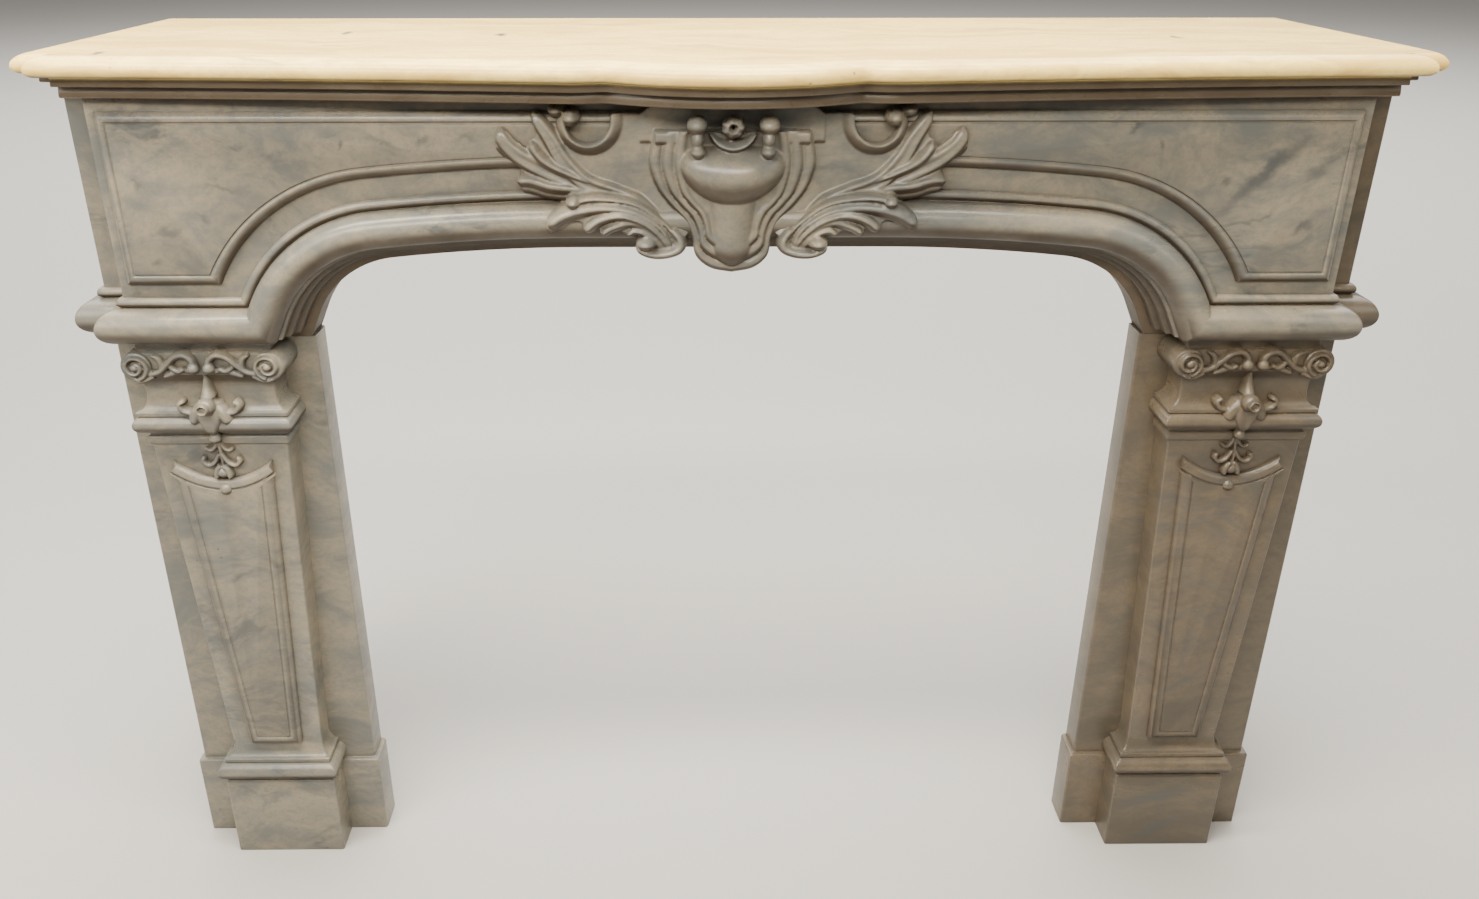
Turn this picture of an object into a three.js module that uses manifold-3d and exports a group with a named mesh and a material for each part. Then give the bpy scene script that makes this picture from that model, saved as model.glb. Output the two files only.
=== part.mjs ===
// A carved marble chimneypiece: serpentine shelf, arched frieze with a cartouche, tapered pilasters.
// Millimetres, +Z up, front towards -Y. While building, y = 0 is the front face of the frieze.

import * as THREE from "three";
import { mergeVertices } from "three/addons/utils/BufferGeometryUtils.js";
import Module from "manifold-3d";

const wasm = await Module();
wasm.setup();

// Overall sizes and joints
const HEIGHT = 1100;
const WALL_Y = 357;
const JOINT = 0.3;
const ROOT = 6;
const WELD = 1e-4;

// Shelf: half widths in x, and the y of the nose line at its turning points
const SHELF = {
  underside: 1054,
  half: 760,
  wingNose: -10,
  blockHalf: 731,
  cornerNose: -44,
  peakX: 166,
  peakNose: -88,
  notchX: 134,
  notchNose: -81,
  bowNose: -120,
  sideStraightness: 0.45,
};

// Shelf edge moulding, as inset behind the nose and drop below the top, from the underside up
const SHELF_EDGE = [
  [38, 46], [30, 44], [32, 34], [19, 32], [18, 26], [12, 24],
  [5, 22], [1.5, 18], [0, 12], [1.5, 6], [5, 2], [11, 0],
];

// Frieze block, its set-back wings and the slabs behind
const FRIEZE = { half: 697, bottom: 775, back: 44 };
const WING = { half: 737, face: 38, thick: 40, bottom: 763 };
const SLAB = { face: 44.3, back: 84, inner: 498, outer: 739, plinthProud: 6.5, plinthHigh: 125 };
const RETURN_THICK = 30;

// Arch: line of the bead, from the springing over a tight corner to a flat crown
const ARCH = {
  springX: 557,
  springZ: 822,
  steep: THREE.MathUtils.degToRad(66),
  cornerR: 192,
  shallow: THREE.MathUtils.degToRad(6),
  flatX: 170,
};
const BEAD_R = 6;
const TORUS = { centre: 27, r: 20, seat: 8 };
const SOFFIT_STEPS = [[51, 0], [57, 12], [63, 26]];
const BACK_ARCH_OFFSET = 74;

// Raised panels of the frieze
const PANEL = { outer: 686, inner: 90, top: 1039, bottom: 844, archOffset: -31, rise: 5, edge: 9 };

// Pilasters: centre line, levels as height, half width and front y, and the raised panel on the tapered shaft
const PILASTER = { x: 617, top: 774.7, back: 44, plinthBack: 37.7 };
const SHAFT = { low: 178, high: 640, lowHalf: 60, highHalf: 81, lowFace: 12, highFace: 2 };
const SHAFT_PANEL = { low: 181, high: 619, lowHalf: 35, highHalf: 60, dip: 22, rise: 4, edge: 8 };
const CAP_FACE = -6;
const PLINTH_LEVELS = [[0, 74, -4], [123, 74, -4], [126, 71, -1]];
const BASE_SEAT = [125.9, 71, -1];
const BASE_ROLL = { low: 128, high: 154, half: 68, front: 2 };
const BASE_LEVELS = [[155, 72, -1], [160, 72, -1], [163, 66, 5], [169, 62, 9]];
const NECK_LEVELS = [[642, 84, 0], [650, 85, -2], [653, 82, 1]];
const CAP_ROLL = { low: 659, high: 680, half: 84, front: -4 };
const CAP_LEVELS = [
  [682, 91, -9], [686, 86, -5], [694, 80, -1], [706, 77, 2], [722, 79, 1],
  [734, 84, CAP_FACE], [761, 84, CAP_FACE], [763, 79, 0], [PILASTER.top, 79, 0],
];

// Carving of the capitals: eggs by centre and half sizes, leaf lobes by line, half widths and heights
const VOLUTE = { x: 76, z: 746, r: 16, eye: 6, eyeDeep: 5, front: -12, facets: 12 };
const VINE_BUD = { x: 9, y: CAP_FACE - 6, z: 745, half: 8 };
const VINE = [
  { line: [[62, 732], [36, 742], [30, 770], [9, 748]], wide: [5, 5, 5], high: [9, 11, 12] },
  { line: [[44, 744], [46, 752], [48, 758], [52, 764]], wide: [4, 5, 2], high: [8, 9, 5] },
  { line: [[12, 736], [24, 746], [34, 738], [42, 734]], wide: [3, 8, 2], high: [6, 8, 4] },
];
const PENDANT_DROPS = [
  { y: -6, z: 728, half: 5, high: 9 }, { y: -9, z: 698, half: 11 }, { y: -13, z: 677, half: 12, high: 15 },
  { y: -4, z: 653, half: 7 }, { y: 0, z: 634, half: 5, high: 12 }, { y: 0, z: 608, half: 8, high: 11 },
  { y: 1, z: 584, half: 7 },
];
const PENDANT_LEAVES = [
  { line: [[6, 690], [16, 694], [24, 700], [32, 704]], wide: [4, 9, 3], high: [12, 12, 7] },
  { line: [[6, 694], [22, 690], [20, 680], [8, 668]], wide: [3, 8, 3], high: [14, 24, 18] },
  { line: [[3, 634], [8, 618], [22, 616], [20, 628]], wide: [3, 5, 4], high: [8, 9, 5] },
];

// Cartouche: the shield's side and its tiers as inset and y, then the urn on it
const SHIELD = { middle: 955, reach: 84, outlineSteps: 9 };
const SHIELD_SIDE = [
  [0, 863], [24, 868], [40, 882], [44, 902], [66, 938], [84, 962], [90, 988], [86, 1026],
];
const SHIELD_TIERS = [
  [0, 20], [0, -24], [4, -30], [10, -30], [13, -25], [17, -33], [23, -36], [27, -31],
];
const BULB = { y: -34, z: 977, half: 57, deep: 26, high: 29, facets: 12 };
const TONGUE = { y: -32, z: 920, half: 21, deep: 18, high: 27, facets: 10 };
const ROSE = { y: -42, z: 1028, half: 12, high: 13 };
const LIP = { line: [[-26, 1021], [-9, 1003], [9, 1003], [26, 1021]], wide: [3, 9, 3], high: [50, 64, 50] };
const KNOB = [
  { x: 38, y: -44, z: 1030, half: 10, deep: 12 }, { x: 37, y: -44, z: 1014, half: 6, deep: 10, high: 14 },
  { x: 36, y: -48, z: 1003, half: 7, deep: 9, high: 6 },
];
const BLOCK_SIDE = [[98, 985], [98, 1037], [86, 1047], [86, 1054]];
const BLOCK_FRONT = -36;

// Foliage on one side of the shield
const WEB = { inner: 80, top: 1037, foot: 905, outerTop: 126, front: -13 };
const WEB_EDGE = [[96, 936], [128, 955], [166, 976], [190, 1008]];
const SCROLL = { x: 158, z: 1028, r: 33, endR: 21, from: Math.PI * 0.91, to: Math.PI * 2.15 };
const SCROLL_STRAP = { wide: [6, 7, 5], high: [20, 26, 26] };
const BERRY = { x: 168, y: -12, z: 1035, half: 11, deep: 20 };
const EYE = { x: 97, y: -20, z: 895, half: 12, deep: 26, high: 9 };
const STEM = { line: [[84, 924], [64, 912], [58, 876], [96, 874]], wide: [6, 10, 8], high: [28, 44, 40] };
const UPPER_LOBES = [
  { line: [[88, 925], [150, 965], [200, 985], [212, 1038]], wide: [7, 15, 4], high: [20, 26, 14] },
  { line: [[95, 925], [165, 950], [222, 965], [252, 1019]], wide: [7, 17, 5], high: [20, 25, 12] },
  { line: [[95, 922], [160, 948], [205, 945], [240, 964]], wide: [6, 14, 5], high: [20, 24, 14] },
  { line: [[90, 918], [130, 946], [160, 948], [180, 938]], wide: [6, 10, 5], high: [26, 30, 20] },
];
const LOWER_LOBES = [
  { line: [[70, 900], [105, 942], [165, 942], [206, 912]], wide: [7, 15, 6], high: [30, 42, 36] },
  { line: [[72, 898], [102, 930], [140, 934], [162, 909]], wide: [6, 12, 5], high: [32, 44, 38] },
  { line: [[74, 896], [92, 922], [112, 922], [120, 904]], wide: [5, 10, 4], high: [32, 44, 38] },
];

// Facets
const SHELF_STEPS = { side: 5, turn: 2, bow: 6 };
const CORNER_STEPS = 6;
const CROWN_STEPS = 3;
const BEAD_FACETS = 3;
const TORUS_FACETS = 6;
const ROLL_STEPS = 5;
const CURVE_SEGMENTS = 10;
const BALL_FACETS = 7;
const DROP_FACETS = 6;
const LEAF = { steps: 5, facets: 4 };
const SPRIG = { steps: 4, facets: 3 };
const STRAP = { steps: 9, facets: 4 };

const lerp = THREE.MathUtils.lerp;
const vec2 = (x, y) => new THREE.Vector2(x, y);
const vec3 = (x, y, z) => new THREE.Vector3(x, y, z);
const bend = (t, a, b, c) => (1 - t) ** 2 * a + 2 * t * (1 - t) * b + t ** 2 * c;
const steps = (count) => Array.from({ length: count + 1 }, (_, i) => i / count);

// A closed body through rings of equal length, capped at both ends
function loft(rings) {
  const count = rings[0].length;
  const points = rings.flat();
  const faces = [];
  for (let r = 0; r + 1 < rings.length; r += 1) {
    for (let i = 0; i < count; i += 1) {
      const a = r * count + i;
      const b = r * count + ((i + 1) % count);
      faces.push(a, b, b + count, a, b + count, a + count);
    }
  }
  const lastStart = points.length - count;
  for (const [p, q, s] of capFaces(rings[0])) {
    faces.push(s, q, p);
  }
  for (const [p, q, s] of capFaces(rings.at(-1))) {
    faces.push(lastStart + p, lastStart + q, lastStart + s);
  }
  const geometry = new THREE.BufferGeometry().setFromPoints(points);
  geometry.setIndex(faces);
  return geometry;
}

// Triangles of one end ring, wound the way the ring runs
function capFaces(ring) {
  const normal = vec3(0, 0, 0);
  ring.forEach((p, i) => normal.add(p.clone().cross(ring[(i + 1) % ring.length])));
  normal.normalize();
  const side = Math.abs(normal.z) > 0.9 ? vec3(1, 0, 0) : vec3(0, 0, 1);
  const u = side.cross(normal).normalize();
  const v = normal.clone().cross(u);
  const flat = ring.map((p) => vec2(p.dot(u), p.dot(v)));
  return THREE.ShapeUtils.triangulateShape(flat, []);
}

// Turns a geometry into a solid, faces outwards
function solid(geometry) {
  const bare = geometry.clone();
  bare.deleteAttribute("normal");
  bare.deleteAttribute("uv");
  const merged = mergeVertices(bare, WELD);
  const vertProperties = new Float32Array(merged.attributes.position.array);
  const triVerts = new Uint32Array(merged.index.array);
  if (signedVolume(vertProperties, triVerts) < 0) {
    triVerts.reverse();
  }
  return new wasm.Manifold(new wasm.Mesh({ numProp: 3, vertProperties, triVerts }));
}

function signedVolume(xyz, tri) {
  const corner = (k) => vec3().fromArray(xyz, tri[k] * 3);
  let sum = 0;
  for (let k = 0; k < tri.length; k += 3) {
    sum += corner(k).dot(corner(k + 1).cross(corner(k + 2)));
  }
  return sum;
}

const join = (geometries) => geometries.map(solid).reduce((all, next) => all.add(next));

function geometryOf(body) {
  const mesh = body.getMesh();
  const geometry = new THREE.BufferGeometry();
  geometry.setAttribute("position", new THREE.BufferAttribute(new Float32Array(mesh.vertProperties), 3));
  geometry.setIndex(new THREE.BufferAttribute(new Uint32Array(mesh.triVerts), 1));
  return geometry.toNonIndexed();
}

const mirrored = (geometry) => geometry.clone().applyMatrix4(new THREE.Matrix4().makeScale(-1, 1, 1));
const bothSides = (geometry) => [geometry, mirrored(geometry)];

// A shape drawn in x and z, given a thickness from yFront back to yBack, with an optional splay to its edges
function slab(shape, yFront, yBack, splay = { edge: 0, rise: 0 }) {
  const { edge, rise } = splay;
  const geometry = new THREE.ExtrudeGeometry(shape, {
    depth: yBack - yFront - 2 * rise,
    curveSegments: CURVE_SEGMENTS,
    bevelEnabled: edge > 0,
    bevelThickness: rise,
    bevelSize: edge,
    bevelOffset: -edge,
    bevelSegments: 1,
  });
  return geometry.rotateX(Math.PI / 2).translate(0, yBack - rise, 0);
}

function box(x0, x1, y0, y1, z0, z1) {
  const geometry = new THREE.BoxGeometry(x1 - x0, y1 - y0, z1 - z0);
  return geometry.translate((x0 + x1) / 2, (y0 + y1) / 2, (z0 + z1) / 2);
}

// An egg or ball on the face
function egg({ x = 0, y, z, half, deep = half, high = half, facets = BALL_FACETS }) {
  return new THREE.SphereGeometry(1, facets, facets - 2).scale(half, deep, high).translate(x, y, z);
}

// A crowned strip along a curve on the face, as in a leaf lobe or a scroll
function lobe({ line, wide, high }, face = 0, fine = LEAF) {
  const curve = new THREE.CubicBezierCurve(...line.map(([x, z]) => vec2(x, z)));
  return strip(curve, wide, high, face, fine);
}

function strip(curve, wide, high, face, fine) {
  const rings = steps(fine.steps).map((t) => {
    const at = curve.getPoint(t);
    const along = curve.getTangent(t);
    const half = bend(t, ...wide);
    const rise = bend(t, ...high);
    return steps(fine.facets).map((s) => {
      const across = half * Math.cos(Math.PI * s);
      const out = (rise + ROOT) * Math.sin(Math.PI * s) ** 0.7 - ROOT;
      return vec3(at.x - along.y * across, face - out, at.y + along.x * across);
    });
  });
  return loft(rings);
}

// Nose line of the shelf over one half, from the corner of the front block to the middle
function shelfNose(x) {
  const { blockHalf, cornerNose, peakX, peakNose, notchX, notchNose, bowNose, sideStraightness } = SHELF;
  if (x >= peakX) {
    const t = (blockHalf - x) / (blockHalf - peakX);
    return lerp(cornerNose, peakNose, sideStraightness * t + (1 - sideStraightness) * t * t);
  }
  if (x >= notchX) {
    return lerp(peakNose, notchNose, ((peakX - x) / (peakX - notchX)) ** 2);
  }
  const sag = notchNose - bowNose;
  const bowR = (notchX ** 2 + sag ** 2) / (2 * sag);
  return bowNose + bowR - Math.sqrt(bowR ** 2 - x ** 2);
}

// Corners of the shelf in plan, each with the way its edge moulding steps inwards
function shelfPlan() {
  const { half, wingNose, blockHalf, cornerNose, peakX, notchX } = SHELF;
  const right = [
    { x: half, y: WALL_Y, inX: -1, inY: 0 },
    { x: half, y: wingNose, inX: -1, inY: 1 },
    { x: blockHalf, y: wingNose, inX: -1, inY: 1 },
    { x: blockHalf, y: cornerNose, inX: -1, inY: 1 },
  ];
  const front = (x) => ({ x, y: shelfNose(x), inX: 0, inY: 1 });
  const side = steps(SHELF_STEPS.side).slice(1).map((t) => front(lerp(blockHalf, peakX, t)));
  const turn = steps(SHELF_STEPS.turn).slice(1).map((t) => front(lerp(peakX, notchX, t)));
  const bow = steps(SHELF_STEPS.bow).slice(1, -1).map((t) => front(lerp(notchX, 0, t)));
  const rightHalf = [...right, ...side, ...turn, ...bow];
  const leftHalf = rightHalf.map((p) => ({ ...p, x: -p.x, inX: -p.inX })).reverse();
  return [...rightHalf, front(0), ...leftHalf];
}

function shelf() {
  const plan = shelfPlan();
  const rings = SHELF_EDGE.map(([inset, drop]) =>
    plan.map((p) => vec3(p.x + p.inX * inset, p.y + p.inY * inset, HEIGHT - drop)));
  rings[0].forEach((p) => p.setZ(SHELF.underside + JOINT));
  return join([loft(rings)]);
}

// Points of the arch line from left to right, with the normal into the opening
function archNodes() {
  const { springX, springZ, steep, cornerR, shallow, flatX } = ARCH;
  const node = (x, z, a) => ({ x, z, nx: Math.sin(a), nz: -Math.cos(a) });
  const corner = steps(CORNER_STEPS).map((t) => {
    const a = lerp(steep, shallow, t);
    const x = -springX + cornerR * (Math.sin(steep) - Math.sin(a));
    return node(x, springZ + cornerR * (Math.cos(a) - Math.cos(steep)), a);
  });
  const last = corner.at(-1);
  const crownR = (-flatX - last.x) / Math.sin(shallow);
  const crown = steps(CROWN_STEPS).slice(1).map((t) => {
    const a = shallow * (1 - t);
    return node(-flatX - crownR * Math.sin(a), last.z + crownR * (Math.cos(a) - Math.cos(shallow)), a);
  });
  const left = [...corner, ...crown];
  const right = left.map((n) => ({ ...n, x: -n.x, nx: -n.nx })).reverse();
  return [...left, ...right];
}

const archLine = (offset) => archNodes().map((n) => vec2(n.x + offset * n.nx, n.z + offset * n.nz));

// A lintel face with the arch cut out of it at an offset from the bead
function archedShape(bottom, offset) {
  const line = archLine(offset);
  const footX = line[0].x - (line[0].y - bottom) / Math.tan(ARCH.steep);
  return new THREE.Shape([
    vec2(-FRIEZE.half, bottom), vec2(footX, bottom), ...line, vec2(-footX, bottom),
    vec2(FRIEZE.half, bottom), vec2(FRIEZE.half, SHELF.underside), vec2(-FRIEZE.half, SHELF.underside),
  ]);
}

// Section of the bead and torus, as offset from the bead line and projection from the face
function beadAndTorus() {
  const arc = (centre, seat, r, facets) =>
    steps(facets).map((t) => [centre - r * Math.cos(Math.PI * t), seat + r * Math.sin(Math.PI * t)]);
  const bead = arc(0, 1, BEAD_R, BEAD_FACETS);
  const torus = arc(TORUS.centre, TORUS.seat, TORUS.r, TORUS_FACETS);
  const far = TORUS.centre + TORUS.r;
  return [[-BEAD_R, -ROOT], ...bead, ...torus, [far, -ROOT]];
}

// The moulding on the frieze: returned round both ends, level on the impost, then over the arch
function friezeMoulding() {
  const section = beadAndTorus();
  const level = (u) => ARCH.springZ - u;
  const end = (side) => section.map(([u, d]) =>
    vec3(side * (FRIEZE.half + d), WING.face - JOINT - d, level(u)));
  const corner = (side) => section.map(([u, d]) => vec3(side * (FRIEZE.half + d), -d, level(u)));
  const across = (n) => section.map(([u, d]) => vec3(n.x + u * n.nx, -d, n.z + u * n.nz));
  const nodes = archNodes();
  const mitre = Math.tan(ARCH.steep / 2);
  nodes[0] = { ...nodes[0], nx: mitre, nz: -1 };
  nodes[nodes.length - 1] = { ...nodes.at(-1), nx: -mitre, nz: -1 };
  return loft([end(-1), corner(-1), ...nodes.map(across), corner(1), end(1)]);
}

// Outline of one raised panel: square outside, following the arch inside
function panelShape() {
  const line = archLine(PANEL.archOffset).slice(archNodes().length / 2);
  const inside = line.filter((p) => p.y > PANEL.bottom && p.x > PANEL.inner);
  const last = inside.at(-1);
  const footX = last.x + (last.y - PANEL.bottom) / Math.tan(ARCH.steep);
  return new THREE.Shape([
    vec2(PANEL.inner, PANEL.top), vec2(PANEL.inner, inside[0].y), ...inside,
    vec2(footX, PANEL.bottom), vec2(PANEL.outer, PANEL.bottom), vec2(PANEL.outer, PANEL.top),
  ]);
}

// Closed outline of the shield, drawn in towards its middle by an inset
function shieldRing(inset, y) {
  const side = new THREE.SplineCurve(SHIELD_SIDE.map(([x, z]) => vec2(x, z))).getPoints(SHIELD.outlineSteps);
  const line = [...side, ...side.slice(1).map((p) => vec2(-p.x, p.y)).reverse()];
  const shrink = 1 - inset / SHIELD.reach;
  return line.map((p) => vec3(p.x * shrink, y, lerp(SHIELD.middle, p.y, shrink)));
}

function shield() {
  const tiers = loft(SHIELD_TIERS.map(([inset, y]) => shieldRing(inset, y)));
  const right = BLOCK_SIDE.map(([x, z]) => vec2(x, z));
  const left = BLOCK_SIDE.map(([x, z]) => vec2(-x, z)).reverse();
  const block = slab(new THREE.Shape([...right, ...left]), BLOCK_FRONT, ROOT);
  const knobs = KNOB.flatMap((part) => bothSides(egg(part)));
  return [tiers, block, egg(BULB), egg(TONGUE), egg(ROSE), lobe(LIP), ...knobs];
}

// Plain ground between the shield and the C scroll, bounded below by the upper leaf
function webShape() {
  const { inner, top, foot, outerTop } = WEB;
  const shape = new THREE.Shape();
  shape.moveTo(inner, top);
  shape.lineTo(inner, foot);
  shape.splineThru(WEB_EDGE.map(([x, z]) => vec2(x, z)));
  shape.absarc(SCROLL.x, SCROLL.z, SCROLL.r, Math.PI * -0.2, Math.PI * -1.09, true);
  shape.lineTo(outerTop, top);
  return shape;
}

// The C scroll winds in from beside the shield, down and round to its berry
function scrollLine() {
  const { x, z, r, endR, from, to } = SCROLL;
  return new THREE.SplineCurve(steps(8).map((t) => {
    const angle = lerp(from, to, t);
    const radius = lerp(r, endR, t);
    return vec2(x + radius * Math.cos(angle), z + radius * Math.sin(angle));
  }));
}

function foliage() {
  const web = slab(webShape(), WEB.front, ROOT);
  const scroll = strip(scrollLine(), SCROLL_STRAP.wide, SCROLL_STRAP.high, 0, STRAP);
  const leaves = [STEM, ...UPPER_LOBES, ...LOWER_LOBES].map((shape) => lobe(shape));
  return [web, scroll, egg(BERRY), egg(EYE), ...leaves].flatMap(bothSides);
}

function frieze() {
  const body = SOFFIT_STEPS.map(([offset, front]) =>
    slab(archedShape(FRIEZE.bottom, offset), front, FRIEZE.back));
  const panel = slab(panelShape(), -PANEL.rise, 2 * PANEL.rise, PANEL);
  return join([...body, friezeMoulding(), ...bothSides(panel), ...shield(), ...foliage()]);
}

function backLintel() {
  return join([slab(archedShape(WING.bottom + JOINT, BACK_ARCH_OFFSET), SLAB.face, SLAB.back)]);
}

// Rectangular ring of a pilaster at one height
function blockRing(z, half, front, back) {
  return [vec3(-half, front, z), vec3(half, front, z), vec3(half, back, z), vec3(-half, back, z)];
}

// Heights of a half-round moulding that stands out of a block
function roll({ low, high, half, front }) {
  const r = (high - low) / 2;
  return steps(ROLL_STEPS).map((t) => {
    const out = r * Math.sin(Math.PI * t);
    return [low + r * (1 - Math.cos(Math.PI * t)), half + out, front - out];
  });
}

function pilasterBlock() {
  const shaft = [
    [SHAFT.low, SHAFT.lowHalf, SHAFT.lowFace],
    [SHAFT.high, SHAFT.highHalf, SHAFT.highFace],
  ];
  const base = [BASE_SEAT, ...roll(BASE_ROLL), ...BASE_LEVELS];
  const cap = [...NECK_LEVELS, ...roll(CAP_ROLL), ...CAP_LEVELS];
  const rings = (levels, back) => levels.map(([z, half, y]) => blockRing(z, half, y, back));
  const foot = loft(rings(PLINTH_LEVELS, PILASTER.plinthBack));
  return [foot, loft(rings([...base, ...shaft, ...cap], PILASTER.back))];
}

// Raised panel on the shaft, with a hollowed head, leaning with the face
function shaftPanel() {
  const { low, high, lowHalf, highHalf, dip, rise, edge } = SHAFT_PANEL;
  const shape = new THREE.Shape();
  shape.moveTo(-lowHalf, low);
  shape.lineTo(lowHalf, low);
  shape.lineTo(highHalf, high);
  shape.quadraticCurveTo(0, high - 2 * dip, -highHalf, high);
  const lean = (SHAFT.highFace - SHAFT.lowFace) / (SHAFT.high - SHAFT.low);
  const shear = new THREE.Matrix4().makeShear(0, 0, 0, 0, 0, lean);
  const geometry = slab(shape, -rise, 3 * rise, { edge, rise }).applyMatrix4(shear);
  return geometry.translate(0, SHAFT.lowFace - lean * SHAFT.low, 0);
}

function volute() {
  const { x, z, r, eye, eyeDeep, front, facets } = VOLUTE;
  const barrel = new THREE.CylinderGeometry(r, r, PILASTER.back - front, facets);
  barrel.translate(x, (PILASTER.back + front) / 2, z);
  return [barrel, egg({ x, y: front, z, half: eye, deep: eyeDeep, facets: DROP_FACETS })];
}

// Vine scrolls, buds and leaves across the capital, for one side
function capitalVine() {
  const sprigs = VINE.map((sprig) => lobe(sprig, CAP_FACE, SPRIG));
  return [...sprigs, egg({ ...VINE_BUD, facets: DROP_FACETS })];
}

// Flower, leaves and beads that hang down the middle of the capital and shaft
function pendant() {
  const middle = PENDANT_DROPS.map((drop) => egg({ ...drop, facets: DROP_FACETS }));
  return [...middle, ...PENDANT_LEAVES.flatMap((leaf) => bothSides(lobe(leaf, 0, SPRIG)))];
}

function pilaster() {
  const carving = [...volute(), ...capitalVine()].flatMap(bothSides);
  return join([...pilasterBlock(), shaftPanel(), ...carving, ...pendant()]);
}

// Plain slab behind a pilaster, with its plinth; for the right-hand side
function jambSlab() {
  const { face, back, inner, outer, plinthProud, plinthHigh } = SLAB;
  const wide = plinthProud;
  return join([
    box(inner, outer, face, back, 0, WING.bottom),
    box(inner - wide, outer + wide, face - wide, back, 0, plinthHigh),
  ]);
}

// Plain side slab that runs back to the wall; for the right-hand side
function jambReturn() {
  const { back, outer, plinthProud, plinthHigh } = SLAB;
  return join([
    box(outer - RETURN_THICK, outer, back + JOINT, WALL_Y, 0, WING.bottom),
    box(outer - RETURN_THICK, outer + plinthProud, back + JOINT, WALL_Y, 0, plinthHigh),
  ]);
}

// Set-back wing of the frieze with its side slab and moulding; for the right-hand side
function friezeReturn() {
  const inner = FRIEZE.half + JOINT;
  const { half, face, thick, bottom } = WING;
  const low = bottom + JOINT;
  const section = beadAndTorus().map(([u, d]) => [d, ARCH.springZ - u]);
  const moulding = loft([
    section.map(([d, z]) => vec3(half + d, WALL_Y, z)),
    section.map(([d, z]) => vec3(half + d, face - d, z)),
    section.map(([d, z]) => vec3(Math.max(inner + d, inner), face - d, z)),
  ]);
  return join([
    box(inner, half, face, face + thick, low, SHELF.underside),
    box(half - RETURN_THICK, half, face, WALL_Y, low, SHELF.underside),
    moulding,
  ]);
}

// Assembly
const marble = (color) => new THREE.MeshStandardMaterial({ color, roughness: 0.3, metalness: 0 });
const PALE = 0xd8cdb8;
const GREY = 0xb9b0a3;

function stone(name, body, color, x = 0) {
  const mesh = new THREE.Mesh(geometryOf(body), marble(color));
  mesh.name = name;
  mesh.position.x = x;
  return mesh;
}

const chimneypiece = new THREE.Group();
chimneypiece.add(stone("shelf", shelf(), PALE));
chimneypiece.add(stone("frieze", frieze(), GREY));
chimneypiece.add(stone("back_lintel", backLintel(), GREY));

const pilasterBody = pilaster();
const sideSlabs = { jamb_slab: jambSlab(), jamb_return: jambReturn(), frieze_return: friezeReturn() };
for (const [side, sign] of [["left", -1], ["right", 1]]) {
  chimneypiece.add(stone(`pilaster_${side}`, pilasterBody, GREY, sign * PILASTER.x));
  for (const [name, body] of Object.entries(sideSlabs)) {
    const handed = sign > 0 ? body : solid(mirrored(geometryOf(body)));
    chimneypiece.add(stone(`${name}_${side}`, handed, GREY));
  }
}

// The frame's origin is under the middle of the whole piece
chimneypiece.position.y = -(WALL_Y + SHELF.bowNose) / 2;

export default chimneypiece;
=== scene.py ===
"""A carved marble chimneypiece: serpentine shelf, arched frieze with a cartouche, tapered pilasters."""

import math

import bmesh
import bpy
import numpy as np
from mathutils import Matrix, Vector


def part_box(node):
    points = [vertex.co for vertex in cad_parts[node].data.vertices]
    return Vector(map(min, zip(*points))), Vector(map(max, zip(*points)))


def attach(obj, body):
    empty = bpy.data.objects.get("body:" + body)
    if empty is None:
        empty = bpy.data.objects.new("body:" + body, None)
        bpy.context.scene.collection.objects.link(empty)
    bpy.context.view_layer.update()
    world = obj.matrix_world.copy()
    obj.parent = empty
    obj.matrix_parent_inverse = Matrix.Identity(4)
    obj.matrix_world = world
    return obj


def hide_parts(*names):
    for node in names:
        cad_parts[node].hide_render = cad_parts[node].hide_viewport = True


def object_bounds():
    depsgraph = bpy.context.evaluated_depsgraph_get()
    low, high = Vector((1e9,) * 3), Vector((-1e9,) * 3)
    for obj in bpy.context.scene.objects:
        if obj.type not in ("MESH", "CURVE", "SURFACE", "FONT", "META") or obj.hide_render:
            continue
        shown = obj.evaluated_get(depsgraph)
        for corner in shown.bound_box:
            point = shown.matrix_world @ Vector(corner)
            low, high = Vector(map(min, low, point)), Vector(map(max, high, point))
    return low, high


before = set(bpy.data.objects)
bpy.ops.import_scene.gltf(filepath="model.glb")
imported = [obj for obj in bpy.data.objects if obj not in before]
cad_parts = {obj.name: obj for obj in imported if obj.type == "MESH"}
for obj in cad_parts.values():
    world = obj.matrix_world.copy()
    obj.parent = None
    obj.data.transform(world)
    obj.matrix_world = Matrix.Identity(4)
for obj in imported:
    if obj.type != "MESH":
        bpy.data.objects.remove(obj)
cad_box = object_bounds()

# Sizes in millimetres, with y = 0 on the front face of the frieze, as the stones are cut
MM = 0.001
JOINT = 0.3
ROOT = 6.0
HEIGHT = cad_box[1].z / MM
SHELF_UNDER = 1054.0
FRIEZE_HALF = 697.0
FRIEZE_BOTTOM = 775.0
FRIEZE_BACK = 44.0
WING_HALF = 737.0
WING_FACE = 38.0
WING_THICK = 40.0
WING_BOTTOM = 763.0
SLAB_FACE = 44.3
SLAB_BACK = 84.0
SLAB_INNER = 498.0
SLAB_OUTER = 739.0
PLINTH_PROUD = 6.5
PLINTH_HIGH = 125.0
RETURN_THICK = 30.0
PILASTER_X = 617.0
PILASTER_TOP = 774.7
PILASTER_BACK = 44.0
PLINTH_BACK = 37.7
CAP_FACE = -6.0
SHAFT_LOW = 178.0
SHAFT_HIGH = 640.0
SHAFT_LOW_FACE = 12.0
SHAFT_HIGH_FACE = 2.0
FACE_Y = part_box("back_lintel")[0].y / MM - SLAB_FACE
WALL_Y = cad_box[1].y / MM - FACE_Y

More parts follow.
